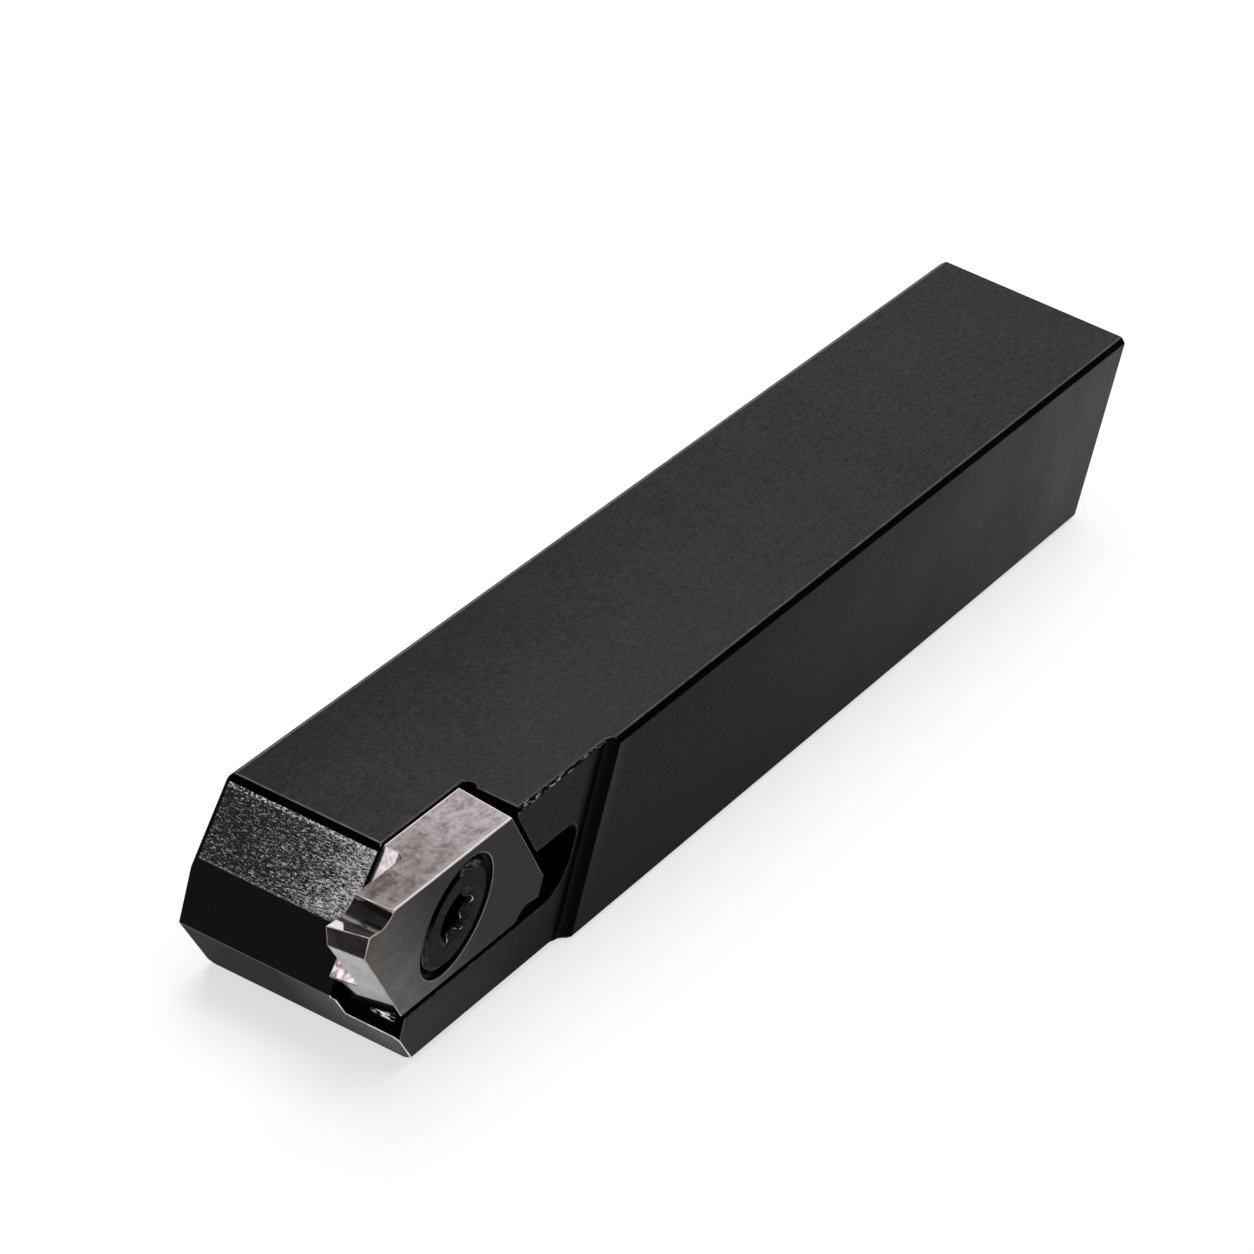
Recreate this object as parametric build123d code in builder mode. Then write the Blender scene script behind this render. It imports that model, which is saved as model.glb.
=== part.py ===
"""Square-shank tool holder with a screw-clamped, two-edged grooving insert.

Millimetres. +X runs along the shank away from the cutting edge, -Y is the side the
insert sits on, +Z is up. The origin is the middle of the shank's underside.
"""
import os
from math import atan2, cos, radians, sin, tan

from build123d import *

os.makedirs("parts", exist_ok=True)

# Shank and front end
shank_width = 16.0
shank_height = 16.0
body_length = 110.0
edge_break = 0.4
top_bevel_run = 2.25
top_bevel_drop = 5.1
lower_bevel_run = 5.8
lower_bevel_above_seat = 0.19

# Side recess of the head
head_length = 25.9
head_recess = 0.6
head_step_run = 1.15
head_top_break = 0.15
pocket_end_break_run = 0.22
pocket_end_break_drop = 0.46
head_bottom_break = 0.65

# Place of the insert in the head
insert_from_front = 6.8
insert_face_depth = 0.5
insert_top_drop = 0.16

# Insert, its outline measured from the middle of its screw hole
insert_height = 10.28
insert_thickness = 4.25
insert_half_length = 12.8
body_half_length = 5.07
cutting_edge_drop = 0.72
flank_height = 1.62
nose_width = 2.66
nose_lead_angle = 18.0
end_lead_angle = 7.0
side_clearance_angle = 4.5
relief_wall_distance = 4.05
relief_wall_angle = 25.0
relief_radius = 0.45

# Chip former between the cutting edge and the top face
former_length = 2.75
former_ramp_length = 0.85
former_land_length = 0.55
former_depth = 0.14

# Insert screw, depths measured from the insert's outer face
screw_head_radius = 3.84
screw_rim_height = 0.9
screw_rim_break_run = 0.36
screw_rim_break_drop = 0.24
screw_cone_angle = 60.0
screw_radius = 2.5
screw_length = 10.7
screw_end_break = 0.4
socket_tip_radius = 1.98
socket_waist_radius = 1.43
socket_lobe_radius = 0.30
socket_depth = 2.4
socket_mouth_radius = 2.05
socket_mouth_slope = 36.0
socket_turn = 14.0

# Screw hole in the insert and tapped hole behind it
head_clearance = 0.57
counterbore_depth = 1.2
shank_clearance = 0.25
tapped_hole_allowance = 1.0
drill_point_angle = 118.0

# Insert pocket
rear_wall_gap = 0.47
rear_wall_break = 0.75
inner_wall_break = 0.15
seat_break = 0.7
corner_relief_radius = 0.5
corner_relief_inset = 0.46
corner_relief_offset = 0.25
bay_clearance = 3.5
bay_headroom = 2.0
bay_top_radius = 1.0
bay_floor_radius = 2.2
front_relief_depth = 2.3
front_ledge_width = 0.3
cut_margin = 3.0

# Derived positions
front_x = -body_length / 2
rear_x = body_length / 2
near_y = -shank_width / 2
head_side_y = near_y + head_recess
half_insert = insert_height / 2
insert_middle_height = shank_height - insert_top_drop - half_insert
seat_height = insert_middle_height - half_insert
top_bevel_foot = shank_height - top_bevel_drop
lower_bevel_top = seat_height + lower_bevel_above_seat
cutting_height = half_insert - cutting_edge_drop
nose_foot_height = cutting_height - flank_height
nose_lead = insert_thickness * tan(radians(nose_lead_angle))
end_lead = insert_thickness * tan(radians(end_lead_angle))
rear_wall_tilt = atan2(insert_half_length - body_half_length, half_insert + nose_foot_height)
half_cone = radians(screw_cone_angle / 2)
counterbore_radius = screw_head_radius + head_clearance
insert_bore_radius = screw_radius + shank_clearance
bay_rear = insert_from_front + insert_half_length + bay_clearance
bay_top = insert_middle_height - nose_foot_height + bay_headroom
front_relief_width = insert_face_depth + insert_thickness - front_ledge_width

# Outer face of the insert: local x runs rearwards, local y up, local z out of the side
side_plane = Plane(
    origin=(front_x + insert_from_front, near_y + insert_face_depth, insert_middle_height),
    x_dir=(1, 0, 0),
    z_dir=(0, -1, 0),
)

# Section through the screw: local x is the radius, local y points out of the side
screw_section = Plane(origin=side_plane.origin, x_dir=(1, 0, 0), z_dir=(0, 0, -1))
screw_axis = Axis(side_plane.origin, side_plane.z_dir)


def nearest_edge(builder, x, y, z):
    """Edge closest to a point, given from the front face, the shank's near side and its underside."""
    return builder.edges().sort_by_distance((front_x + x, near_y + y, z))[0]


def cone_radius(depth):
    """Radius of the screw's seating cone at a depth below the insert's outer face."""
    return screw_head_radius - (depth - screw_rim_height) * tan(half_cone)


def cone_depth(radius):
    """Depth at which the screw's seating cone has a radius."""
    return screw_rim_height + (screw_head_radius - radius) / tan(half_cone)


def rear_wall_reach(height):
    """Reach of the pocket's rear wall at a height above the middle of the screw hole."""
    along = body_half_length + (half_insert - height) * tan(rear_wall_tilt)
    return along + rear_wall_gap / cos(rear_wall_tilt)


def insert_outline(depth_share):
    """Outline of the insert; depth_share is 0 at the outer face and 1 at the inner one."""
    floor_height = cutting_height - former_depth
    ramp_height = half_insert - floor_height
    floor_start = former_length - former_ramp_length
    # Distance behind the cutting edge, height, and share of the nose's lead
    profile = [
        (former_length, half_insert, 0.20),
        (floor_start + 0.6 * former_ramp_length, floor_height + 0.35 * ramp_height, 0.55),
        (floor_start, floor_height + 0.03 * ramp_height, 0.65),
        ((floor_start + former_land_length) / 2, floor_height, 0.75),
        (former_land_length, cutting_height - 0.3 * former_depth, 1.00),
    ]
    former = []
    for behind, height, lead_share in profile:
        former.append((behind - insert_half_length - depth_share * lead_share * nose_lead, height))
    tip = (-insert_half_length - depth_share * nose_lead, cutting_height)
    foot = (-insert_half_length - depth_share * end_lead, nose_foot_height)
    bottom = (-body_half_length - depth_share * end_lead, -half_insert)
    former_turned = [(-x, -y) for x, y in former]
    tip_turned, foot_turned, bottom_turned = [(-x, -y) for x, y in (tip, foot, bottom)]
    with BuildSketch() as outline:
        with BuildLine():
            Spline(*former)
            Polyline(former[-1], tip, foot, bottom, former_turned[0])
            Spline(*former_turned)
            Polyline(former_turned[-1], tip_turned, foot_turned, bottom_turned, former[0])
        make_face()
    return outline.sketch


def nose_relief(turn):
    """Cutter that narrows one nose from behind; turn is its angle about the screw."""
    nose_side = Plane(
        side_plane.location * Rot(Z=turn) * Pos(0, cutting_height, -nose_width) * Rot(X=-side_clearance_angle)
    )
    wall_top = half_insert - cutting_height + cut_margin
    wall_bottom = -insert_height - cut_margin
    wall_slope = tan(radians(relief_wall_angle))
    wall_base = relief_wall_distance + (half_insert - cutting_height) * wall_slope
    with BuildPart() as cutter:
        with BuildSketch(nose_side):
            with BuildLine():
                Polyline(
                    (-wall_base + wall_top * wall_slope, wall_top),
                    (-2 * insert_half_length, wall_top),
                    (-2 * insert_half_length, wall_bottom),
                    (-wall_base + wall_bottom * wall_slope, wall_bottom),
                    close=True,
                )
            make_face()
        extrude(amount=-insert_thickness)
        wall_foot = nose_side.from_local_coords((-wall_base, 0, 0))
        fillet(cutter.edges().sort_by_distance(wall_foot)[0], relief_radius)
    return cutter.part


def socket_outline():
    """Six-lobed outline of the screw's socket."""
    lobe_reach = socket_tip_radius - socket_lobe_radius
    spread = cos(radians(30))
    valley_radius = (
        lobe_reach**2 + socket_waist_radius**2 - 2 * lobe_reach * socket_waist_radius * spread - socket_lobe_radius**2
    ) / (2 * (socket_lobe_radius - socket_waist_radius + lobe_reach * spread))
    lobe_middle = Vector(lobe_reach, 0)
    valley_middle = Vector(socket_waist_radius + valley_radius, 0).rotate(Axis.Z, 30)
    share = socket_lobe_radius / (socket_lobe_radius + valley_radius)
    join = lobe_middle + (valley_middle - lobe_middle) * share
    join_before = Vector(join.X, -join.Y)
    tip = Vector(socket_tip_radius, 0)
    waist = Vector(socket_waist_radius, 0).rotate(Axis.Z, 30)
    with BuildSketch() as outline:
        with BuildLine():
            for lobe in range(6):
                turn = 60 * lobe
                lobe_end = join.rotate(Axis.Z, turn)
                ThreePointArc(join_before.rotate(Axis.Z, turn), tip.rotate(Axis.Z, turn), lobe_end)
                ThreePointArc(lobe_end, waist.rotate(Axis.Z, turn), join_before.rotate(Axis.Z, turn + 60))
        make_face()
    return outline.sketch


# Holder: shank and head in one piece
with BuildPart() as tool_holder:
    # Bar with both bevels of the front end
    with BuildSketch(Plane.XZ):
        with BuildLine():
            Polyline(
                (front_x + lower_bevel_run, 0),
                (rear_x, 0),
                (rear_x, shank_height),
                (front_x + top_bevel_run, shank_height),
                (front_x, top_bevel_foot),
                (front_x, lower_bevel_top),
                close=True,
            )
        make_face()
    extrude(amount=shank_width / 2, both=True)

    # Broken edges of the shank, its rear end and the top bevel
    long_edges = tool_holder.edges().filter_by(Axis.X)
    rear_edges = tool_holder.faces().sort_by(Axis.X)[-1].edges()
    bevel_middle_height = (shank_height + top_bevel_foot) / 2
    bevel_top = nearest_edge(tool_holder, top_bevel_run, shank_width / 2, shank_height)
    bevel_side = nearest_edge(tool_holder, top_bevel_run / 2, shank_width, bevel_middle_height)
    chamfer([*long_edges, *rear_edges, bevel_top, bevel_side], edge_break)

    # Side recess of the head, ending in a hollow step
    with BuildSketch():
        with BuildLine():
            step_start = (front_x + head_length - head_step_run, head_side_y)
            step_end = (front_x + head_length, near_y)
            Polyline(
                step_end,
                (step_end[0], near_y - cut_margin),
                (front_x - cut_margin, near_y - cut_margin),
                (front_x - cut_margin, head_side_y),
                step_start,
            )
            TangentArc(step_start, step_end, tangent=(1, 0))
        make_face()
    extrude(amount=shank_height, mode=Mode.SUBTRACT)
    chamfer(nearest_edge(tool_holder, head_length / 2, head_recess, shank_height), head_top_break)
    break_at_pocket = (insert_from_front + body_half_length, pocket_end_break_run, pocket_end_break_drop)
    break_at_step = (head_length - head_step_run, head_top_break, head_top_break)
    for from_front, run, drop in (break_at_pocket, break_at_step):
        with BuildSketch(Plane.YZ.offset(front_x + from_front)):
            with BuildLine():
                Polyline(
                    (head_side_y, shank_height),
                    (head_side_y, shank_height - drop),
                    (head_side_y + run, shank_height),
                    close=True,
                )
            make_face()
    loft(ruled=True, mode=Mode.SUBTRACT)
    with BuildSketch(Plane.YZ.offset(front_x)):
        with BuildLine():
            Polyline(
                (head_side_y, 0),
                (head_side_y + head_bottom_break, 0),
                (head_side_y, head_bottom_break),
                close=True,
            )
        make_face()
    extrude(amount=head_length - head_step_run, mode=Mode.SUBTRACT)
    step_middle = (head_length - head_step_run / 2, 0.8 * head_recess)
    chamfer(nearest_edge(tool_holder, *step_middle, 0), edge_break)

    # Pocket with its seat, rear wall and the bay around the unused nose
    with BuildSketch(side_plane):
        with BuildLine():
            floor_y = -half_insert
            bay_x = bay_rear - insert_from_front
            bay_y = bay_top - insert_middle_height
            above_y = shank_height - insert_middle_height + cut_margin
            ahead_x = -insert_from_front - cut_margin
            Polyline(
                (bay_x - bay_top_radius, bay_y),
                (rear_wall_reach(bay_y), bay_y),
                (rear_wall_reach(above_y), above_y),
                (ahead_x, above_y),
                (ahead_x, floor_y),
                (bay_x - bay_floor_radius, floor_y),
            )
            JernArc((bay_x - bay_floor_radius, floor_y), (1, 0), bay_floor_radius, 90)
            Line((bay_x, floor_y + bay_floor_radius), (bay_x, bay_y - bay_top_radius))
            JernArc((bay_x, bay_y - bay_top_radius), (0, 1), bay_top_radius, 90)
        make_face()
    extrude(amount=-insert_thickness, mode=Mode.SUBTRACT)

    # Relief under the insert's front end
    with BuildSketch():
        with Locations((front_x, near_y)):
            Rectangle(2 * front_relief_depth, 2 * front_relief_width)
    extrude(amount=seat_height, mode=Mode.SUBTRACT)

    # Broken edges of the seat and of the corner below it
    seat_side = nearest_edge(tool_holder, bay_rear / 2, head_recess, seat_height)
    seat_front = nearest_edge(tool_holder, front_relief_depth, front_relief_width / 2, seat_height)
    chamfer([seat_side, seat_front], seat_break)
    relief_corner_height = seat_height - 2 * seat_break
    relief_corner = nearest_edge(tool_holder, front_relief_depth, head_recess, relief_corner_height)
    chamfer(relief_corner, edge_break)

    # Broken upper edges of the pocket's walls
    wall_top_height = shank_height - insert_middle_height
    wall_top_x = insert_from_front + rear_wall_reach(wall_top_height)
    wall_top = nearest_edge(tool_holder, wall_top_x, insert_thickness / 2, shank_height)
    chamfer(wall_top, rear_wall_break)
    inner_wall_top = nearest_edge(
        tool_holder, insert_from_front, insert_face_depth + insert_thickness, shank_height
    )
    chamfer(inner_wall_top, inner_wall_break)

    # Round relief down the inner corner of the rear wall
    relief_x = rear_wall_reach(bay_y) + corner_relief_offset / cos(rear_wall_tilt)
    relief_foot = side_plane.from_local_coords((relief_x, bay_y, corner_relief_inset - insert_thickness))
    with BuildSketch(Plane(relief_foot, z_dir=(-sin(rear_wall_tilt), 0, cos(rear_wall_tilt)))):
        Circle(corner_relief_radius)
    extrude(amount=shank_height, mode=Mode.SUBTRACT)

    # Tapped hole, drawn at the thread's outer diameter
    tapped_depth = screw_length + tapped_hole_allowance
    with BuildSketch(screw_section):
        with BuildLine():
            Polyline(
                (0, 0),
                (screw_radius, 0),
                (screw_radius, -tapped_depth),
                (0, -tapped_depth - screw_radius / tan(radians(drill_point_angle / 2))),
                close=True,
            )
        make_face()
    revolve(axis=screw_axis, mode=Mode.SUBTRACT)

# Insert: two noses half a turn apart around the screw hole
nose_reliefs = [nose_relief(turn) for turn in (0, 180)]
with BuildPart() as grooving_insert:
    with BuildSketch(side_plane):
        add(insert_outline(0))
    with BuildSketch(side_plane.offset(-insert_thickness)):
        add(insert_outline(1))
    loft(ruled=True)
    add(nose_reliefs, mode=Mode.SUBTRACT)

    # Screw hole: counterbore, seating cone and bore
    with BuildSketch(screw_section):
        with BuildLine():
            Polyline(
                (0, cut_margin),
                (counterbore_radius, cut_margin),
                (counterbore_radius, -counterbore_depth),
                (cone_radius(counterbore_depth), -counterbore_depth),
                (insert_bore_radius, -cone_depth(insert_bore_radius)),
                (insert_bore_radius, -insert_thickness - cut_margin),
                (0, -insert_thickness - cut_margin),
                close=True,
            )
        make_face()
    revolve(axis=screw_axis, mode=Mode.SUBTRACT)

# Insert screw: rimmed countersunk head, plain shank at the thread's outer diameter
with BuildPart() as insert_screw:
    with BuildSketch(screw_section):
        with BuildLine():
            Polyline(
                (0, -socket_mouth_radius * tan(radians(socket_mouth_slope))),
                (socket_mouth_radius, 0),
                (screw_head_radius - screw_rim_break_run, 0),
                (screw_head_radius, -screw_rim_break_drop),
                (screw_head_radius, -screw_rim_height),
                (screw_radius, -cone_depth(screw_radius)),
                (screw_radius, -screw_length + screw_end_break),
                (screw_radius - screw_end_break, -screw_length),
                (0, -screw_length),
                close=True,
            )
        make_face()
    revolve(axis=screw_axis)
    with BuildSketch(side_plane):
        add(socket_outline(), rotation=socket_turn)
    extrude(amount=-socket_depth, mode=Mode.SUBTRACT)

tool_holder.part.label = "tool_holder"
grooving_insert.part.label = "grooving_insert"
insert_screw.part.label = "insert_screw"
export_step(tool_holder.part, "parts/tool_holder.step")
export_step(grooving_insert.part, "parts/grooving_insert.step")
export_step(insert_screw.part, "parts/insert_screw.step")
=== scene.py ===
"""Looks of the grooving tool holder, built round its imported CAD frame.

Metres, apart from places on the part, which are in mm. +X runs along the shank away from
the cutting edge, -Y is the side the insert sits on, +Z is up, and z = 0 is the underside.
"""

import bmesh
import bpy
from math import cos, hypot, pi, radians, sin, tan
from mathutils import Euler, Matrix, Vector


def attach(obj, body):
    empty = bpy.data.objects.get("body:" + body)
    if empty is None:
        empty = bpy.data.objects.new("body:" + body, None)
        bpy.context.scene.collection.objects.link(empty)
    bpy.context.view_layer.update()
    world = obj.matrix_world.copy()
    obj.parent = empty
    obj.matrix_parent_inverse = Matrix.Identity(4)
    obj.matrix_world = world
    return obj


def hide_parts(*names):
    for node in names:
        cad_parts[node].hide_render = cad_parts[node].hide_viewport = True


MM = 0.001
X, Y, Z = range(3)
SMOOTH_RELIEF = 0.001 * MM
OXIDE_RELIEF = 0.002 * MM

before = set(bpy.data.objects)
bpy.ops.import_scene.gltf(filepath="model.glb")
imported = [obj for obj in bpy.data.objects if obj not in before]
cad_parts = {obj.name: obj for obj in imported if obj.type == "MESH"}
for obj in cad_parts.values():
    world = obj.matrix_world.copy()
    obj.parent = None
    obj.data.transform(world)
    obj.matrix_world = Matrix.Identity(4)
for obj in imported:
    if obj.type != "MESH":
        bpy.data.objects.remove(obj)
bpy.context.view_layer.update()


# Places on the part, in mm
def box_in_mm(node):
    """The lowest and the highest corner of a CAD node, rounded to a micrometre."""
    points = [vertex.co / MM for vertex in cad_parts[node].data.vertices]
    low = Vector([round(min(point[axis] for point in points), 3) for axis in (X, Y, Z)])
    high = Vector([round(max(point[axis] for point in points), 3) for axis in (X, Y, Z)])
    return low, high


holder_low, holder_high = box_in_mm("tool_holder")
insert_low, insert_high = box_in_mm("grooving_insert")
screw_axis = (insert_low + insert_high) / 2
front_end, rear_end = holder_low.x, holder_high.x
near_side, far_side = holder_low.y, holder_high.y
holder_top = holder_high.z
insert_side, insert_back = insert_low.y, insert_high.y
head_depth = near_side + 0.6
step_rear = front_end + 25.9
step_shade = front_end + 24.0
bay_front = front_end + 11.5


# Shader helpers
def grey(value):
    """A neutral colour of one linear value."""
    return value, value, value * 0.98


def warm_grey(value):
    """The slightly warm tone of blackened steel, from one linear value."""
    return value, value, value * 0.92


class Paint:
    """A node material that is written line by line from object-space patterns."""

    def __init__(self, name):
        self.material = bpy.data.materials.new(name)
        self.material.use_nodes = True
        self.nodes = self.material.node_tree.nodes
        self.links = self.material.node_tree.links
        self.shader = self.nodes["Principled BSDF"]
        self.place = self.nodes.new("ShaderNodeTexCoord").outputs["Object"]

    def put(self, socket, value):
        """Links a node's output to a socket, or sets the socket's own value."""
        if isinstance(value, bpy.types.NodeSocket):
            self.links.new(value, socket)
        else:
            socket.default_value = value

    def math(self, operation, first, second):
        """One operation on two values."""
        node = self.nodes.new("ShaderNodeMath")
        node.operation = operation
        self.put(node.inputs[0], first)
        self.put(node.inputs[1], second)
        return node.outputs[0]

    def product(self, first, *others):
        """Multiplies two or more values."""
        for other in others:
            first = self.math("MULTIPLY", first, other)
        return first

    def weighed(self, first, share, second):
        """The mean of two values, of which the first has the given share."""
        return self.math("ADD", self.product(first, share), self.product(second, 1.0 - share))

    def noise(self, grain, detail=3.0, roughness=0.55, stretch=(1.0, 1.0, 1.0), turn=0.0, curl=0.0):
        """Noise from 0 to 1 in features about one grain long; turn is about X, and curl bends them."""
        place = self.nodes.new("ShaderNodeMapping")
        place.inputs["Rotation"].default_value = (turn, 0.0, 0.0)
        place.inputs["Scale"].default_value = tuple(0.5 / (grain * factor) for factor in stretch)
        self.links.new(self.place, place.inputs["Vector"])
        node = self.nodes.new("ShaderNodeTexNoise")
        node.inputs["Scale"].default_value = 1.0
        node.inputs["Detail"].default_value = detail
        node.inputs["Roughness"].default_value = roughness
        node.inputs["Distortion"].default_value = curl
        self.links.new(place.outputs[0], node.inputs["Vector"])
        return node.outputs["Fac"]

    def curled_grain(self, grain, stretch=(2.0, 1.0, 1.0)):
        """The fine grain of blackened steel."""
        return self.noise(grain, stretch=stretch, curl=1.5)

    def between(self, value, low, high, out_low=0.0, out_high=1.0):
        """Maps low..high of a value to out_low..out_high, with the ends held."""
        node = self.nodes.new("ShaderNodeMapRange")
        for socket, number in zip(node.inputs, (value, low, high, out_low, out_high)):
            self.put(socket, number)
        return node.outputs[0]

    def colour(self, factor, first, second, blend="MIX"):
        """Mixes two colours by a factor."""
        node = self.nodes.new("ShaderNodeMix")
        node.data_type = "RGBA"
        node.blend_type = blend
        self.put(node.inputs["Factor"], factor)
        for socket, value in (("A", first), ("B", second)):
            linked = isinstance(value, bpy.types.NodeSocket)
            self.put(node.inputs[socket], value if linked else (*value, 1.0))
        return node.outputs["Result"]

    def axis(self, index):
        """One object-space coordinate, in metres."""
        node = self.nodes.new("ShaderNodeSeparateXYZ")
        self.links.new(self.place, node.inputs[0])
        return node.outputs[index]

    def ramp(self, index, start, end):
        """Rises from 0 to 1 along one axis, from start to end in mm."""
        return self.between(self.axis(index), start * MM, end * MM)

    def bump(self, height, distance):
        """Raises the surface by up to distance where height is 1."""
        node = self.nodes.new("ShaderNodeBump")
        node.inputs["Strength"].default_value = 1.0
        node.inputs["Distance"].default_value = distance
        self.put(node.inputs["Height"], height)
        return node.outputs[0]

    def finish(self, **values):
        """Sets the shader's inputs, underscores standing for spaces, and returns the material."""
        for name, value in values.items():
            self.put(self.shader.inputs[name.replace("_", " ")], value)
        return self.material


# Blackened steel
def black_oxide(name, dark, light, roughness, ior, grain=0.13 * MM):
    """Blackened steel: fine curled grain with a few pale specks."""
    paint = Paint(name)
    fine = paint.curled_grain(grain)
    speck = paint.between(paint.noise(0.16 * MM, detail=1.0), 0.74, 0.82)
    base = paint.colour(paint.between(fine, 0.35, 0.65), dark, light)
    base = paint.colour(paint.product(speck, 0.4), base, grey(0.06))
    return paint.finish(
        Base_Color=base,
        Roughness=paint.between(fine, 0.3, 0.7, roughness - 0.06, roughness + 0.06),
        IOR=ior,
        Normal=paint.bump(fine, OXIDE_RELIEF),
    )


def shank_top(name):
    """The top face: darker along the far edge of its front half, paler nearer the insert."""
    paint = Paint(name)
    fine = paint.curled_grain(0.16 * MM)
    mottle = paint.weighed(fine, 0.8, paint.noise(4.0 * MM))
    base = paint.colour(paint.between(mottle, 0.38, 0.62), warm_grey(0.006), warm_grey(0.040))
    front = paint.ramp(X, 25, -25)
    near = paint.product(front, paint.ramp(Y, 4.5, -2.5))
    far = paint.product(front, paint.ramp(Y, 2.5, 7.5))
    base = paint.colour(paint.product(near, 0.25), base, warm_grey(0.060))
    base = paint.colour(paint.product(far, 0.45), base, warm_grey(0.004))
    return paint.finish(
        Base_Color=base,
        Roughness=paint.between(mottle, 0.3, 0.7, 0.36, 0.48),
        IOR=1.14,
        Normal=paint.bump(fine, OXIDE_RELIEF),
    )


def shank_side(name):
    """The shank's sides and end: a painted reflection paler towards the rear, a painted highlight beside
    the step, painted shade low down.
    """
    paint = Paint(name)
    fine = paint.curled_grain(0.15 * MM)
    base = paint.colour(paint.between(fine, 0.36, 0.64), warm_grey(0.021), warm_grey(0.037))
    # Painted shade low down
    low = paint.product(paint.ramp(Z, 10.0, 2.5), paint.ramp(X, rear_end, 30))
    base = paint.colour(low, base, warm_grey(0.018))
    rearward = paint.math("POWER", paint.ramp(X, -30, rear_end), 2.1)
    cloud = paint.noise(3.5 * MM, detail=4.0, stretch=(1.0, 1.0, 1.8))
    cloud = paint.between(cloud, 0.36, 0.64, 0.72, 1.28)
    # A painted reflection that grows paler towards the rear
    lit = paint.product(rearward, cloud, paint.between(low, 0.0, 1.0, 1.0, 0.5))
    base = paint.colour(lit, base, warm_grey(0.137))
    # A painted highlight beside the step
    step_highlight = paint.product(
        paint.ramp(X, step_rear + 1.7, step_rear + 0.1),
        paint.ramp(Z, 1.0, 14.0),
        paint.ramp(Y, -6.0, -7.5),
    )
    base = paint.colour(paint.product(step_highlight, 0.7), base, warm_grey(0.090))
    return paint.finish(
        Base_Color=base,
        Roughness=paint.between(rearward, 0.0, 1.0, 0.50, 0.36),
        IOR=1.057,
        Normal=paint.bump(fine, SMOOTH_RELIEF),
    )


def head_side(name):
    """The head's recessed side: painted light at its lower front corner, painted shade low at the rear, and
    black painted shade where it meets the step.
    """
    paint = Paint(name)
    fine = paint.curled_grain(0.16 * MM)
    tone = paint.colour(paint.between(fine, 0.38, 0.62), warm_grey(0.031), warm_grey(0.050))
    low = paint.ramp(Z, 7.0, 3.0)
    # Painted light low at the front and painted shade low at the rear
    front_low_light = paint.product(paint.ramp(X, -36.0, -51.0), low)
    rear_low_shade = paint.product(paint.ramp(X, -40.0, -33.0), low)
    tone = paint.colour(front_low_light, tone, warm_grey(0.110))
    tone = paint.colour(paint.product(rear_low_shade, 0.6), tone, warm_grey(0.006))
    # Black painted shade where the side meets the step
    tone = paint.colour(paint.ramp(X, step_shade - 1.2, step_shade - 0.2), tone, warm_grey(0.001))
    return paint.finish(Base_Color=tone, Roughness=0.5, IOR=1.053, Normal=paint.bump(fine, SMOOTH_RELIEF))


def low_bevel(name):
    """The long bevel under the nose: dark at the far end, with a painted reflection that pales it towards
    the insert.
    """
    paint = Paint(name)
    fine = paint.curled_grain(0.16 * MM, stretch=(1.0, 2.0, 1.0))
    tone = paint.colour(paint.between(fine, 0.38, 0.62), grey(0.0035), grey(0.0065))
    # Painted reflection: pale towards the insert, dimmer again at the near end
    tone = paint.colour(paint.ramp(Y, 1.0, -6.0), tone, grey(0.30))
    tone = paint.colour(paint.ramp(Y, -6.6, -7.8), tone, grey(0.06))
    return paint.finish(Base_Color=tone, Roughness=0.42, IOR=1.05, Normal=paint.bump(fine, SMOOTH_RELIEF))


def milled_steel(name):
    """Rough milled steel under thin oxide: a net of bright threads that thickens towards the insert."""
    paint = Paint(name)
    torn = paint.noise(0.040 * MM, detail=1.0, roughness=0.5, stretch=(1.0, 1.6, 1.0), curl=1.2)
    scratch = paint.noise(0.045 * MM, detail=1.0, roughness=0.5, stretch=(1.0, 4.5, 1.0), turn=0.12)
    patch = paint.math("SUBTRACT", paint.noise(1.6 * MM, detail=2.0), 0.5)
    mixed = paint.math("ADD", paint.weighed(torn, 0.6, scratch), paint.product(patch, 0.10))
    towards_insert = paint.math("POWER", paint.ramp(Y, 7.6, -3.0), 2.2)
    dark_share = paint.between(towards_insert, 0.0, 1.0, 0.55, 0.43)
    bright = paint.between(paint.math("SUBTRACT", mixed, dark_share), 0.0, 0.15)
    rim = paint.ramp(Z, 15.37, 15.39)
    speck = paint.noise(0.05 * MM, detail=1.0, stretch=(1.0, 2.0, 1.0))
    rim_speck = paint.product(rim, paint.between(speck, 0.50, 0.60))
    bright = paint.math("MAXIMUM", bright, rim_speck)
    return paint.finish(
        Base_Color=paint.colour(bright, grey(0.020), grey(0.68)),
        Metallic=paint.between(bright, 0.0, 1.0, 0.2, 1.0),
        Roughness=paint.between(torn, 0.3, 0.7, 0.32, 0.55),
        IOR=1.15,
        Normal=paint.bump(mixed, 0.03 * MM),
    )


def rough_glint(name, side, top, threshold, metal, drawn_out):
    """Black oxide with torn bright metal; side and top are the (low, high) stretches of Y and Z."""
    paint = Paint(name)
    across = paint.product(paint.ramp(Y, side[0], side[0] + 0.3), paint.ramp(Y, side[1], side[1] - 0.3))
    height = paint.product(paint.ramp(Z, top[0] - 0.1, top[0]), paint.ramp(Z, top[1], top[1] - 0.15))
    torn = paint.noise(0.08 * MM, roughness=0.65, stretch=drawn_out, curl=0.4)
    torn_through = paint.between(torn, threshold, threshold + 0.06)
    bright = paint.product(across, height, torn_through)
    return paint.finish(
        Base_Color=paint.colour(bright, grey(0.0012), metal),
        Metallic=bright,
        Roughness=paint.between(bright, 0.0, 1.0, 0.40, 0.28),
        IOR=1.05,
        Normal=paint.bump(torn, 0.01 * MM),
    )


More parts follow.
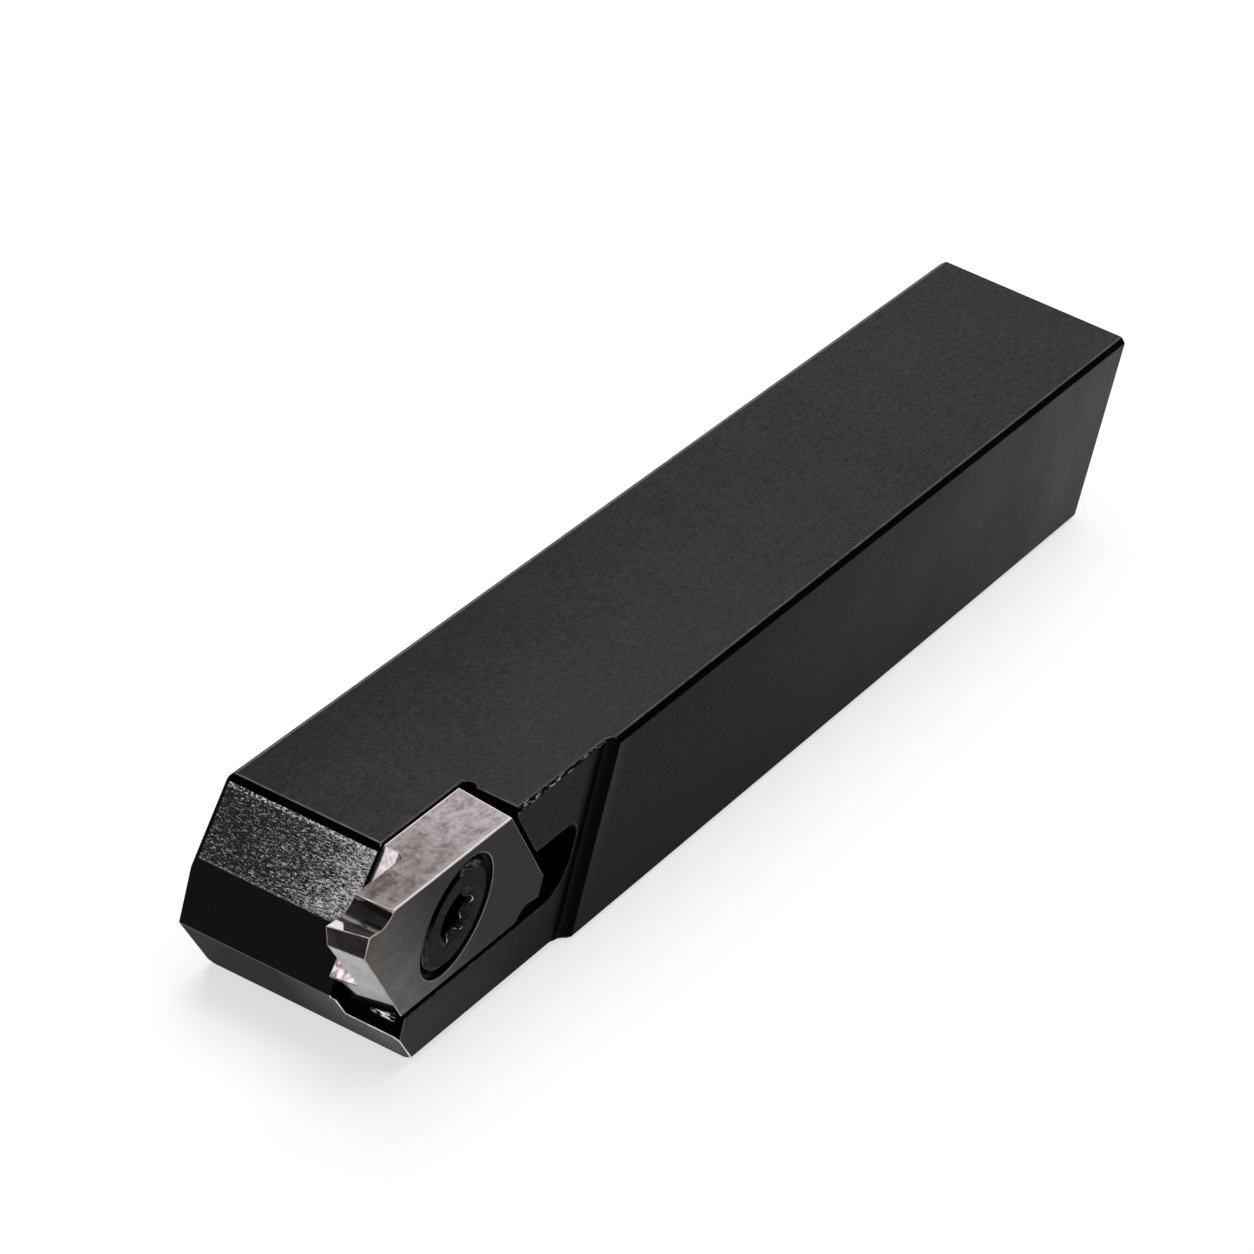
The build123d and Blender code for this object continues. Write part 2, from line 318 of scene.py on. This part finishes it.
def screw_rim(name):
    """The screw's rim: painted light low down, painted shade above, with bright scuffs at the top."""
    paint = Paint(name)
    fine = paint.noise(0.20 * MM, detail=2.0, curl=1.0)
    # Painted light: the lower rim paler than the screw's face
    base = paint.colour(paint.between(fine, 0.38, 0.62), grey(0.050), grey(0.130))
    # Painted shade above
    base = paint.colour(paint.ramp(Z, 10.2, 11.8), base, grey(0.0006))
    top = paint.product(paint.ramp(Z, 13.75, 14.0), paint.ramp(X, -49.3, -48.9))
    streaks = paint.noise(0.10 * MM, roughness=0.7, stretch=(2.5, 1.0, 1.0), curl=0.5)
    scuff = paint.product(top, paint.between(streaks, 0.42, 0.66))
    return paint.finish(
        Base_Color=paint.colour(scuff, base, grey(0.24)),
        Metallic=paint.product(scuff, 0.6),
        Roughness=0.36,
        IOR=1.03,
        Normal=paint.bump(fine, 0.003 * MM),
    )


def socket_wall(name):
    """The socket's lobed wall: lit oxide at its mouth, black painted shade further in."""
    paint = Paint(name)
    cloud = paint.curled_grain(0.20 * MM, stretch=(1.0, 1.0, 1.0))
    tone = paint.colour(paint.between(cloud, 0.35, 0.65), grey(0.012), grey(0.080))
    # Painted shade deeper in the socket
    tone = paint.colour(paint.ramp(Y, insert_side + 0.30, insert_side + 0.65), tone, grey(0.0003))
    return paint.finish(Base_Color=tone, Roughness=0.28, IOR=1.05, Normal=paint.bump(cloud, OXIDE_RELIEF))


# Rubbed edges, partly painted highlights
def edge_wear_and_highlight(name, low, high, roughness=0.34, metallic=0.8, patch=0.8 * MM, spread=(0.36, 0.64), ior=1.5):
    """The rubbed arris between two faces, brighter in patches: partly wear, partly painted highlight."""
    paint = Paint(name)
    patches = paint.noise(patch, roughness=0.6)
    return paint.finish(
        Base_Color=paint.colour(paint.between(patches, *spread), low, high),
        Metallic=metallic,
        Roughness=roughness,
        IOR=ior,
        Normal=paint.bump(paint.noise(0.08 * MM), SMOOTH_RELIEF),
    )


# Ground carbide
# The colour of painted highlights along the insert's edges
RIM_HIGHLIGHT = (0.95, 0.87, 0.86)


def carbide_patches(paint, cloud):
    """Streaky clouds on ground carbide, from 0 to 1."""
    clouds = paint.noise(cloud, detail=2.0, roughness=0.6, stretch=(1.6, 1.0, 1.0), curl=0.5)
    grain = paint.noise(0.13 * MM, detail=2.0, roughness=0.6, stretch=(1.8, 1.0, 1.0))
    return paint.between(paint.weighed(clouds, 0.6, grain), 0.40, 0.60)


def stained_carbide(paint, patches, dark, light, stain, share=0.5):
    """The cloudy tone of ground carbide, stained in places."""
    stains = paint.between(paint.noise(1.8 * MM, detail=2.0), 0.45, 0.60)
    return paint.colour(paint.product(stains, share), paint.colour(patches, dark, light), stain)


def carbide_finish(paint, base, patches, roughness, **values):
    """Ends a carbide material; roughness is that of its dark and of its light patches."""
    return paint.finish(
        Base_Color=base,
        Roughness=paint.between(patches, 0.0, 1.0, *roughness),
        Normal=paint.bump(paint.noise(0.06 * MM, detail=2.0), SMOOTH_RELIEF),
        **values,
    )


def carbide(name, dark, light, stain, roughness, metallic=1.0, ior=1.5):
    """Plain ground carbide, cloudy and stained."""
    paint = Paint(name)
    patches = carbide_patches(paint, 0.9 * MM)
    base = stained_carbide(paint, patches, dark, light, stain)
    return carbide_finish(paint, base, patches, roughness, Metallic=metallic, IOR=ior)


def carbide_top(name):
    """The insert's top: cloudy, paler rearwards, with a painted highlight band by its near edge and painted
    highlight rims along its edges.
    """
    paint = Paint(name)
    patches = carbide_patches(paint, 0.55 * MM)
    dark, light, stain = (0.070, 0.055, 0.050), (0.300, 0.258, 0.258), (0.105, 0.088, 0.076)
    base = stained_carbide(paint, patches, dark, light, stain)
    rear_tone = paint.colour(patches, (0.24, 0.195, 0.203), (0.485, 0.425, 0.436))
    base = paint.colour(paint.ramp(X, -55.5, -43.5), base, rear_tone)
    # Painted highlights along the near edge: a paler band and a bright rim
    near_band_highlight = paint.ramp(Y, insert_side + 0.6, insert_side + 0.1)
    base = paint.colour(paint.product(near_band_highlight, 0.35), base, (0.60, 0.53, 0.54))
    near_rim_highlight = paint.ramp(Y, insert_side + 0.15, insert_side + 0.10)
    base = paint.colour(paint.product(near_rim_highlight, 0.8), base, RIM_HIGHLIGHT)
    # The rear edge leads by 7 degrees, so its painted highlight rim is found along lines of that slope
    rear_edge = -42.21
    along = paint.math("SUBTRACT", paint.axis(X), paint.product(paint.axis(Y), tan(radians(7.0))))
    rear_rim_highlight = paint.between(along, (rear_edge - 0.14) * MM, (rear_edge - 0.10) * MM)
    far_rim_highlight = paint.ramp(Y, insert_back - 0.14, insert_back - 0.10)
    rim = paint.math("MAXIMUM", rear_rim_highlight, far_rim_highlight)
    base = paint.colour(paint.product(rim, 0.65), base, RIM_HIGHLIGHT)
    return carbide_finish(paint, base, patches, (0.24, 0.29), Metallic=1.0)


def carbide_side(name):
    """The insert's outer side: dark stained carbide that pales towards its lower front corner."""
    paint = Paint(name)
    patches = carbide_patches(paint, 0.7 * MM)
    forward = paint.product(paint.axis(X), -1.0)
    lower = paint.product(paint.axis(Z), -1.2)
    to_corner = paint.between(paint.math("ADD", forward, lower), 34.5 * MM, 44.5 * MM)
    pale = paint.math("POWER", to_corner, 1.5)
    base = paint.colour(pale, (0.046, 0.0447, 0.0447), (0.335, 0.326, 0.318))
    brown = paint.product(paint.ramp(X, -55.0, -60.5), 0.6)
    base = paint.colour(brown, base, (0.170, 0.145, 0.127))
    shade = paint.colour(patches, (0.68, 0.65, 0.62), grey(1.0))
    base = paint.colour(1.0, base, shade, blend="MULTIPLY")
    return carbide_finish(paint, base, patches, (0.36, 0.42), Metallic=0.1, IOR=1.05)


def carbide_former(name):
    """The chip former: near black as painted shade, with a painted highlight streak in its hollow and a
    pale far front corner.
    """
    paint = Paint(name)
    cloud = paint.noise(0.5 * MM)
    waver = paint.product(cloud, 0.3 * MM)
    base = paint.colour(paint.between(cloud, 0.4, 0.6), (0.007, 0.0062, 0.006), (0.014, 0.0125, 0.012))
    along = paint.math("ADD", paint.axis(X), waver)
    # A painted highlight streak along the hollow
    streak = paint.product(
        paint.between(along, -60.0 * MM, -59.75 * MM),
        paint.between(along, -59.35 * MM, -59.65 * MM),
        paint.between(cloud, 0.36, 0.52),
    )
    base = paint.colour(paint.product(streak, 0.8), base, (0.42, 0.385, 0.385))
    # The pale corner ends along a slanting line across the nose
    slanted = paint.math("SUBTRACT", paint.product(paint.axis(Y), 1.7), paint.axis(X))
    slanted = paint.math("ADD", slanted, waver)
    corner = paint.product(paint.between(slanted, 51.50 * MM, 51.65 * MM), paint.ramp(X, -60.52, -60.66))
    return paint.finish(
        Base_Color=paint.colour(corner, base, (0.72, 0.62, 0.63)),
        Metallic=paint.between(corner, 0.0, 1.0, 0.25, 1.0),
        IOR=1.12,
        Roughness=0.24,
        Normal=paint.bump(paint.noise(0.06 * MM, detail=2.0), SMOOTH_RELIEF),
    )


def carbide_wall(name):
    """The reliefs beside the nose: pale pinkish carbide, streaked low down with painted reflections in
    darker tones.
    """
    paint = Paint(name)
    patches = carbide_patches(paint, 0.45 * MM)
    dark, light, stain = (0.38, 0.32, 0.345), (0.64, 0.575, 0.61), (0.36, 0.28, 0.30)
    base = stained_carbide(paint, patches, dark, light, stain, share=0.7)
    # Painted reflections streaking the lower part
    streaks = paint.noise(0.34 * MM, detail=2.0, stretch=(1.0, 1.0, 2.0), curl=0.8)
    streaked = paint.colour(paint.between(streaks, 0.42, 0.58), (0.20, 0.155, 0.165), (0.70, 0.63, 0.655))
    base = paint.colour(paint.ramp(Z, 10.0, 9.6), base, streaked)
    return carbide_finish(paint, base, patches, (0.18, 0.23), Metallic=1.0)


def carbide_slope(name):
    """The sloping front below the nose: pale ground carbide, with a black painted reflection of the dark
    relief where it meets it.
    """
    paint = Paint(name)
    patches = carbide_patches(paint, 0.6 * MM)
    base = paint.colour(patches, (0.24, 0.235, 0.24), (0.42, 0.41, 0.42))
    waver = paint.product(paint.noise(0.5 * MM, detail=2.0), 0.12 * MM)
    height = paint.math("ADD", paint.axis(Z), waver)
    slanted = paint.math("ADD", height, paint.product(paint.axis(Y), 0.268))
    # Black painted reflection of the dark relief: below one slanting line and beyond another, low down
    under = paint.between(slanted, 5.20 * MM, 5.10 * MM)
    inward = paint.math("SUBTRACT", paint.axis(Y), paint.product(height, 0.515))
    behind = paint.product(paint.between(inward, -8.10 * MM, -8.00 * MM), paint.ramp(Z, 7.7, 7.5))
    black = paint.math("MAXIMUM", under, behind)
    base = paint.colour(black, base, (0.001, 0.001, 0.001))
    metallic = paint.between(black, 0.0, 1.0, 1.0, 0.0)
    return carbide_finish(paint, base, patches, (0.14, 0.19), Metallic=metallic, IOR=1.03)


# Finishes of the tool holder
OXIDE_TOP = shank_top("oxide_top")
OXIDE_SIDE = shank_side("oxide_side")
# The front face, much darker than the sides: painted shade
FRONT_SHADE = black_oxide("front_shade", grey(0.0040), grey(0.0062), 0.35, 1.12)
HEAD_SIDE = head_side("head_side")
LOW_BEVEL = low_bevel("low_bevel")
# The step, darker than the head's side: painted shade
STEP = black_oxide("step_oxide", warm_grey(0.0020), warm_grey(0.0060), 0.40, 1.055)
# The strip of head side at the step's foot, black as painted shade
STEP_FOOT_SHADE = black_oxide("step_foot_shade", grey(0.0004), grey(0.0008), 0.40, 1.02)
# Near black chamfers: painted shade
CHAMFER_SHADE = black_oxide("chamfer_shade", grey(0.0006), grey(0.0012), 0.40, 1.035)
# Near black pocket and bay: painted shade
POCKET_SHADE = black_oxide("pocket_shade", grey(0.0004), grey(0.0008), 0.40, 1.03)
SEAT = rough_glint("seat_oxide", (-6.95, -5.1), (4.60, 5.05), 0.49, grey(0.75), (1.0, 5.0, 1.0))
HEAD_BREAK = rough_glint("head_break", (-8.0, -6.5), (15.4, 16.3), 0.53, grey(0.35), (7.0, 1.0, 1.0))
MILLED = milled_steel("milled_bevel")
EDGE = edge_wear_and_highlight("oxide_edge", grey(0.035), grey(0.11), metallic=0.4)
FOOT_EDGE = edge_wear_and_highlight(
    "bevel_foot_edge", grey(0.03), grey(0.45), metallic=0.4, patch=0.07 * MM, spread=(0.46, 0.68)
)
SOFT_EDGE = edge_wear_and_highlight("soft_edge", grey(0.008), grey(0.030), metallic=0.2)
BAY_EDGE = edge_wear_and_highlight(
    "bay_edge", grey(0.004), grey(0.10), metallic=0.0, patch=0.3 * MM, spread=(0.50, 0.68), ior=1.12
)
NOTCH_EDGE = edge_wear_and_highlight("notch_edge", grey(0.45), grey(0.90), metallic=1.0)

# Finishes of the insert
# Near black inside the screw's bore: painted shade
BORE_SHADE = grey(0.0012)
CARBIDE_TOP = carbide_top("carbide_top")
CARBIDE_SIDE = carbide_side("carbide_side")
# The flank below the cutting edge: near black, painted shade
CARBIDE_FLANK = carbide(
    "carbide_flank", (0.013, 0.0118, 0.0118), (0.025, 0.0225, 0.0225), (0.026, 0.021, 0.019), (0.20, 0.25)
)
CARBIDE_FORMER = carbide_former("carbide_former")
CARBIDE_WALL = carbide_wall("carbide_wall")
CARBIDE_SLOPE = carbide_slope("carbide_slope")
CARBIDE_BORE = carbide(
    "carbide_bore", BORE_SHADE, grey(0.0030), BORE_SHADE, (0.28, 0.33), metallic=0.0, ior=1.1
)
CARBIDE_EDGE = edge_wear_and_highlight("carbide_edge", (0.30, 0.25, 0.235), (0.62, 0.54, 0.52), 0.25, metallic=0.5)
# Near white rounded edges round the insert's top: painted highlights
TOP_EDGE_HIGHLIGHT = edge_wear_and_highlight(
    "carbide_top_highlight", (0.72, 0.62, 0.61), (0.96, 0.90, 0.88), 0.3, metallic=0.0, patch=1.5 * MM
)
CARBIDE_ARRIS = edge_wear_and_highlight("carbide_arris", (0.16, 0.145, 0.145), (0.42, 0.37, 0.37), 0.4, metallic=0.1)

# Finishes of the screw
SCREW = black_oxide("screw_oxide", grey(0.032), grey(0.072), 0.36, 1.02, grain=0.30 * MM)
SCREW_RIM = screw_rim("screw_rim")
SOCKET = socket_wall("socket_oxide")
SCREW_EDGE = edge_wear_and_highlight("screw_edge", grey(0.05), grey(0.16), metallic=0.3, patch=0.5 * MM)
# Painted glints on the socket's ridges
RIDGE_GLINT = edge_wear_and_highlight(
    "ridge_glint", grey(0.004), grey(0.9), metallic=0.7, patch=0.25 * MM, spread=(0.50, 0.60)
)


# Refined copies of the CAD solids
FLAT_ANGLE = radians(0.5)
SHARP_ANGLE = radians(23)
MERGE_DISTANCE = 1e-6


def on_thin_ledge(edge):
    """Tells if an edge is on the bay's innermost ledge, which is narrower than a rounded edge."""
    ends = [end.co / MM for end in edge.verts]
    in_bay = all(bay_front + 0.5 < end.x < bay_front + 7.5 and end.z < holder_top - 0.4 for end in ends)
    return in_bay and all(end.y > insert_back - 0.05 for end in ends)


def refined(node, name, region, arris, arris_width):
    """Copies a node's mesh, paints its faces by region, and rounds its outer edges, painted by arris."""
    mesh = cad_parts[node].data.copy()
    mesh.name = name
    mesh.materials.clear()
    finishes = []

    def paint_face(face, finish):
        if finish not in finishes:
            finishes.append(finish)
            mesh.materials.append(finish)
        face.material_index = finishes.index(finish)

    shape = bmesh.new()
    shape.from_mesh(mesh)
    bmesh.ops.remove_doubles(shape, verts=shape.verts, dist=MERGE_DISTANCE)
    whole = [*shape.verts, *shape.edges, *shape.faces]
    cut_place = (step_shade * MM, 0, 0)
    bmesh.ops.bisect_plane(shape, geom=whole, plane_co=cut_place, plane_no=(1, 0, 0))
    shape.normal_update()
    for face in shape.faces:
        face.smooth = True
        paint_face(face, region(face.normal, face.calc_center_bounds() / MM))
    bmesh.ops.dissolve_limit(
        shape, angle_limit=FLAT_ANGLE, verts=shape.verts, edges=shape.edges, delimit={"MATERIAL"}
    )
    outer = [edge for edge in shape.edges if edge.calc_face_angle_signed(0.0) > SHARP_ANGLE]
    rounded = bmesh.ops.bevel(
        shape, geom=[edge for edge in outer if not on_thin_ledge(edge)], offset=arris_width,
        offset_type="OFFSET", segments=2, profile=0.5, affect="EDGES", clamp_overlap=False, material=-1,
    )
    for face in rounded["faces"]:
        face.smooth = True
        finish = arris(face.calc_center_bounds() / MM)
        if finish:
            paint_face(face, finish)
    shape.to_mesh(mesh)
    shape.free()
    piece = bpy.data.objects.new(name, mesh)
    bpy.context.scene.collection.objects.link(piece)
    weighting = piece.modifiers.new("flat_faces", "WEIGHTED_NORMAL")
    weighting.weight = 80
    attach(piece, "root")
    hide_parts(node)


# Regions, from a face's normal and its middle in mm
SQUARE_ON = 0.999
CLOSE = 0.1
BORE_REACH = 4.7


def on_low_bevel(middle):
    """Tells if a point is on the bevel under the nose, which cuts the front and underside alike."""
    bevel_size = 5.76
    return abs(middle.x - front_end + middle.z - bevel_size) < 0.15


def holder_region(normal, middle):
    """The finish of one face of the tool holder."""
    from_front, from_top = middle.x - front_end, holder_top - middle.z
    if normal.z > SQUARE_ON and from_top < CLOSE:
        return OXIDE_TOP
    if normal.x < -0.9 and normal.z > 0.3 and from_front < 2.0:
        return MILLED
    if normal.x < -SQUARE_ON and from_front < CLOSE:
        return FRONT_SHADE
    if normal.y < -SQUARE_ON and abs(middle.y - head_depth) < CLOSE:
        return HEAD_SIDE if middle.x < step_shade else STEP_FOOT_SHADE
    on_side = abs(normal.y) > SQUARE_ON and abs(middle.y) > far_side - CLOSE
    on_rear_end = normal.x > SQUARE_ON and middle.x > rear_end - CLOSE
    on_underside = normal.z < -SQUARE_ON and middle.z < CLOSE
    if on_side or on_rear_end or on_underside:
        return OXIDE_SIDE
    if on_low_bevel(middle) and max(normal.x, normal.z) < -0.69:
        return LOW_BEVEL
    in_step = step_rear - 1.2 < middle.x < step_rear + CLOSE and middle.y < head_depth + CLOSE
    if in_step and normal.x < -0.03:
        return STEP
    over_head_side = middle.x < step_shade + 1.0 and head_depth - 0.05 < middle.y < head_depth + 0.3
    if over_head_side and from_top < 0.6 and normal.y < -0.3:
        return HEAD_BREAK
    if 2.0 < from_front < 3.1 and 4.0 < middle.z < 5.7 and normal.x < -0.5:
        return SEAT
    if middle.x > step_rear - 0.4 or from_top < 0.4 or middle.z < 0.5 or middle.y > far_side - 0.5:
        return CHAMFER_SHADE
    return POCKET_SHADE


def holder_arris(middle):
    """The finish of one rounded edge of the tool holder, rubbed and partly a painted highlight; the others
    are as dark as their faces.
    """
    from_front, from_top = middle.x - front_end, holder_top - middle.z
    if from_top < CLOSE:
        return EDGE
    if on_low_bevel(middle) and middle.z > 0.3 and middle.y < -3.0:
        return NOTCH_EDGE
    beside_head = middle.x < step_shade and head_depth - 0.06 < middle.y < head_depth + CLOSE
    if beside_head and from_top > 0.7 and middle.z > 1.0:
        return SOFT_EDGE if middle.x < bay_front else BAY_EDGE
    if from_front < 0.15 and 10.6 < middle.z < 11.2:
        return FOOT_EDGE
    if from_front < 0.15 and middle.z < 6.1:
        return SOFT_EDGE
    return None


def insert_region(normal, middle):
    """The finish of one face of the insert, which looks the same after half a turn about its screw."""
    along, up = middle.x - screw_axis.x, middle.z - screw_axis.z
    if up > 5.0:
        return CARBIDE_TOP
    turn = -1.0 if along > 0 else 1.0
    along, up = along * turn, up * turn
    out, lift = normal.x * turn, normal.z * turn
    if abs(normal.y) > 0.9:
        return CARBIDE_BORE if CLOSE < middle.y - insert_side < 2.0 else CARBIDE_SIDE
    if abs(along) < BORE_REACH and abs(up) < BORE_REACH:
        return CARBIDE_BORE
    if along < -10.0 and up > 3.0:
        return CARBIDE_FLANK if out < -0.9 else CARBIDE_FORMER
    if out < -0.9 and up > 2.5 and lift <= 0.3:
        return CARBIDE_FLANK
    if out < -0.6 and lift < -0.6:
        return CARBIDE_SLOPE
    return CARBIDE_WALL


def from_screw_axis(middle):
    """A point's distance from the axis of the screw, in mm."""
    return hypot(middle.x - screw_axis.x, middle.z - screw_axis.z)


def insert_arris(middle):
    """The finish of one rounded edge of the insert: painted highlights, bright round the top and paler at
    the nose.
    """
    depth = middle.y - insert_side
    if from_screw_axis(middle) < BORE_REACH + 0.1:
        return CARBIDE_ARRIS if depth < CLOSE else None
    on_top = middle.z > insert_high.z - 0.14
    if on_top and (depth < 0.5 or middle.x > front_end + 5.0):
        return TOP_EDGE_HIGHLIGHT
    return CARBIDE_EDGE if on_top or middle.x < front_end - 1.0 else CARBIDE_ARRIS


def screw_region(normal, middle):
    """The finish of one face of the screw: its socket, its rim, and the rest."""
    depth = middle.y - insert_side
    if from_screw_axis(middle) < 2.2 and 0.005 < depth < 2.5:
        return SOCKET
    return SCREW_RIM if from_screw_axis(middle) > 3.4 and depth < 0.3 else SCREW


def screw_arris(middle):
    """The finish of one rounded edge of the screw: rubbed round the rim, with painted glints on the
    socket's ridges.
    """
    depth = middle.y - insert_side
    if from_screw_axis(middle) > 3.6 and 0.1 < depth < 0.5:
        return SCREW_EDGE
    if from_screw_axis(middle) < 2.0 and 0.02 < depth < 1.0:
        return RIDGE_GLINT
    return None


refined("tool_holder", "holder_body", holder_region, holder_arris, 0.07 * MM)
refined("grooving_insert", "insert_body", insert_region, insert_arris, 0.06 * MM)
refined("insert_screw", "screw_body", screw_region, screw_arris, 0.04 * MM)


# Floor with an upturned rim
def studio_floor():
    """A pale round floor just under the part, whose rim curves up, so that low views see no edge."""
    clearance = 0.02 * MM
    inner_radius = 0.3
    flat_radius = 2.2
    rim_radius = 0.8
    rim_height = 0.7
    rim_steps = 12
    turns = 96
    profile = [(inner_radius, 0.0), (flat_radius, 0.0)]
    for step in range(1, rim_steps + 1):
        angle = pi / 2 * step / rim_steps
        profile.append((flat_radius + rim_radius * sin(angle), rim_height * (1 - cos(angle))))
    shape = bmesh.new()
    rings = []
    for radius, height in profile:
        ring = []
        for i in range(turns):
            angle = 2 * pi * i / turns
            ring.append(shape.verts.new((radius * cos(angle), radius * sin(angle), height - clearance)))
        rings.append(ring)
    shape.faces.new(rings[0])
    for inner, outer in zip(rings, rings[1:]):
        for i in range(turns):
            j = (i + 1) % turns
            face = shape.faces.new((inner[i], outer[i], outer[j], inner[j]))
            face.smooth = True
    mesh = bpy.data.meshes.new("studio_floor")
    shape.to_mesh(mesh)
    shape.free()
    mesh.materials.append(floor_material())
    floor = bpy.data.objects.new("studio_floor", mesh)
    bpy.context.scene.collection.objects.link(floor)


def floor_material():
    """Pale floor, white to camera, glossy and transmission rays, with its shadow kept; clear from below."""
    material = bpy.data.materials.new("pale_floor")
    material.use_nodes = True
    nodes, links = material.node_tree.nodes, material.node_tree.links
    nodes.clear()
    path = nodes.new("ShaderNodeLightPath")

    def combined(operation, first, second):
        node = nodes.new("ShaderNodeMath")
        node.operation = operation
        links.new(first, node.inputs[0])
        links.new(second, node.inputs[1])
        return node.outputs[0]

    def mixed(factor, first, second):
        node = nodes.new("ShaderNodeMixShader")
        for socket, value in zip(node.inputs, (factor, first, second)):
            links.new(value, socket)
        return node.outputs[0]

    matte = nodes.new("ShaderNodeBsdfDiffuse")
    matte.inputs["Color"].default_value = (0.5, 0.5, 0.5, 1)
    glow = nodes.new("ShaderNodeEmission")
    glow.inputs["Color"].default_value = (1, 1, 1, 1)
    glow.inputs["Strength"].default_value = 0.68
    lifted = nodes.new("ShaderNodeAddShader")
    links.new(matte.outputs[0], lifted.inputs[0])
    links.new(glow.outputs[0], lifted.inputs[1])
    seen = combined("MAXIMUM", path.outputs["Is Camera Ray"], path.outputs["Is Glossy Ray"])
    seen = combined("MAXIMUM", seen, path.outputs["Is Transmission Ray"])
    backfacing = nodes.new("ShaderNodeNewGeometry").outputs["Backfacing"]
    from_below = combined("MULTIPLY", path.outputs["Is Camera Ray"], backfacing)
    clear = nodes.new("ShaderNodeBsdfTransparent")
    surface = mixed(seen, matte.outputs[0], lifted.outputs[0])
    out = nodes.new("ShaderNodeOutputMaterial")
    links.new(mixed(from_below, surface, clear.outputs[0]), out.inputs["Surface"])
    return material


studio_floor()


# Studio light
def softbox(name, towards, distance, width, height, radiance):
    """A rectangular lamp that faces the object from a direction."""
    light = bpy.data.lights.new(name, "AREA")
    light.shape = "RECTANGLE"
    light.size = width
    light.size_y = height
    light.energy = radiance * pi * width * height
    lamp = bpy.data.objects.new(name, light)
    bpy.context.scene.collection.objects.link(lamp)
    direction = Vector(towards).normalized()
    lamp.location = direction * distance
    lamp.rotation_euler = direction.to_track_quat("Z", "Y").to_euler()


softbox("overhead_softbox", (-0.05, 0.10, 1.0), distance=0.9, width=0.9, height=0.7, radiance=2.4)
softbox("rear_softbox", (0.82, 0.31, 0.50), distance=0.8, width=0.62, height=0.36, radiance=1.1)
softbox("front_softbox", (-0.90, 0.31, 0.30), distance=0.8, width=0.42, height=0.30, radiance=1.2)

world = bpy.data.worlds.new("studio_world")
bpy.context.scene.world = world
world.use_nodes = True
background = world.node_tree.nodes["Background"]
background.inputs["Color"].default_value = (1, 1, 1, 1)
background.inputs["Strength"].default_value = 0.2

# Camera
lens = bpy.data.cameras.new("camera")
lens.sensor_width = 36.0
lens.lens = 172.317
lens.clip_start = 0.01
camera = bpy.data.objects.new("camera", lens)
camera.location = (-0.344134, -0.127392, 0.209173)
camera.rotation_euler = Euler((radians(60.45), radians(-12.4259), radians(-62.041)), "XYZ")
bpy.context.scene.collection.objects.link(camera)
bpy.context.scene.camera = camera

bpy.context.scene.view_settings.view_transform = "Standard"
